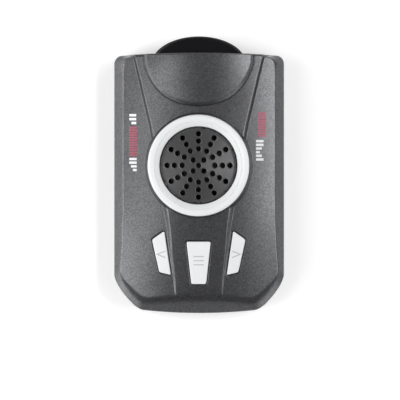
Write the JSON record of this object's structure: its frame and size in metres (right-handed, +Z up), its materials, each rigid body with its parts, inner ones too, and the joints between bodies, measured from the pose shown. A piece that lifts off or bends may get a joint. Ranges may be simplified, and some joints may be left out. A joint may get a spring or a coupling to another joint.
{
  "type": "radar detector",
  "caption": "Dashboard radar and laser detector: crowned two-part housing with a front laser lens, ringed speaker grille, press keys, rear display window and side power socket.",
  "frame": {"origin": "under the middle of the whole detector, level with the soles of its rubber feet", "axes": "+X to the driver's right, +Y forwards to the laser lens, +Z up"},
  "size_m": [0.07, 0.1138, 0.0306],
  "materials": {
    "housing_paint": "fine-grained dark grey metallic paint over plastic, satin",
    "laser_lens_black": "polished infrared-pass black, glossy",
    "window_smoke": "smoked clear plastic, glossy",
    "silver_trim": "pale silver-white, satin",
    "key_silver": "pale silver-white, satin",
    "grille_dark": "dark satin paint",
    "black_plastic": "matt black",
    "foot_rubber": "matt black rubber",
    "seal_foam": "black closed-cell foam",
    "board_green": "green solder mask, semi-gloss",
    "screw_steel": "zinc-plated steel",
    "cast_zinc": "as-cast metal, satin",
    "pin_brass": "bright brass",
    "cone_paper": "dark coated paper",
    "label_silver": "blank satin sticker",
    "lead_red": "red insulation",
    "diode_tinted": "dark tinted epoxy"
  },
  "bodies": {
    "case": {"top_housing": "housing_paint", "bottom_housing": "housing_paint", "laser_lens": "laser_lens_black", "display_window": "window_smoke", "speaker_ring": "silver_trim", "speaker_grille": "grille_dark", "speaker_gasket": "seal_foam", "speaker_frame": "cast_zinc", "speaker_magnet": "cast_zinc", "speaker_lead_red": "lead_red", "speaker_lead_black": "black_plastic", "main_circuit_board": "board_green", "button_board": "board_green", "board_header": "black_plastic", "display_board": "board_green", "display_module": "black_plastic", "main_chip": "black_plastic", "audio_amplifier": "black_plastic", "voltage_regulator": "black_plastic", "power_capacitor": "cast_zinc", "microwave_module": "cast_zinc", "horn_antenna": "cast_zinc", "laser_board": "board_green", "left_laser_diode": "diode_tinted", "right_laser_diode": "diode_tinted", "dc_jack_body": "black_plastic", "dc_jack_pin": "pin_brass", "power_switch_body": "black_plastic", "blank_label": "label_silver", "left_tact_switch": "black_plastic", "mode_tact_switch": "black_plastic", "right_tact_switch": "black_plastic", "housing_screw_front_left": "screw_steel", "board_screw_front_left": "screw_steel", "rubber_foot_front_left": "foot_rubber", "housing_screw_front_right": "screw_steel", "board_screw_front_right": "screw_steel", "rubber_foot_front_right": "foot_rubber", "housing_screw_rear_left": "screw_steel", "board_screw_rear_left": "screw_steel", "rubber_foot_rear_left": "foot_rubber", "housing_screw_rear_right": "screw_steel", "board_screw_rear_right": "screw_steel", "rubber_foot_rear_right": "foot_rubber"},
    "left_key": {"left_button": "key_silver"},
    "mode_key": {"mode_button": "key_silver"},
    "right_key": {"right_button": "key_silver"},
    "left_plunger": {"left_tact_plunger": "black_plastic"},
    "mode_plunger": {"mode_tact_plunger": "black_plastic"},
    "right_plunger": {"right_tact_plunger": "black_plastic"},
    "power_slider": {"power_switch_knob": "black_plastic"},
    "speaker_diaphragm": {"speaker_cone": "cone_paper"}
  },
  "joints": [
    {"name": "left_key_press", "type": "slide", "parent": "case", "child": "left_key", "axis": [0, 0, -1], "range_m": [0, 0.0005], "stiffness_N_per_m": 1500},
    {"name": "left_plunger_press", "type": "slide", "parent": "case", "child": "left_plunger", "axis": [0, 0, -1], "range_m": [0, 0.0005]},
    {"name": "mode_key_press", "type": "slide", "parent": "case", "child": "mode_key", "axis": [0, 0, -1], "range_m": [0, 0.0005], "stiffness_N_per_m": 1500},
    {"name": "mode_plunger_press", "type": "slide", "parent": "case", "child": "mode_plunger", "axis": [0, 0, -1], "range_m": [0, 0.0005]},
    {"name": "right_key_press", "type": "slide", "parent": "case", "child": "right_key", "axis": [0, 0, -1], "range_m": [0, 0.0005], "stiffness_N_per_m": 1500},
    {"name": "right_plunger_press", "type": "slide", "parent": "case", "child": "right_plunger", "axis": [0, 0, -1], "range_m": [0, 0.0005]},
    {"name": "power_slide", "type": "slide", "parent": "case", "child": "power_slider", "axis": [0, 1, 0], "range_m": [0, 0.002]},
    {"name": "speaker_stroke", "type": "slide", "parent": "case", "child": "speaker_diaphragm", "axis": [0, 0, 1], "range_m": [-0.0004, 0.0004], "stiffness_N_per_m": 1500}
  ],
  "couplings": [
    {"joint": "left_plunger_press", "follows": "left_key_press", "ratio": 1},
    {"joint": "mode_plunger_press", "follows": "mode_key_press", "ratio": 1},
    {"joint": "right_plunger_press", "follows": "right_key_press", "ratio": 1}
  ]
}
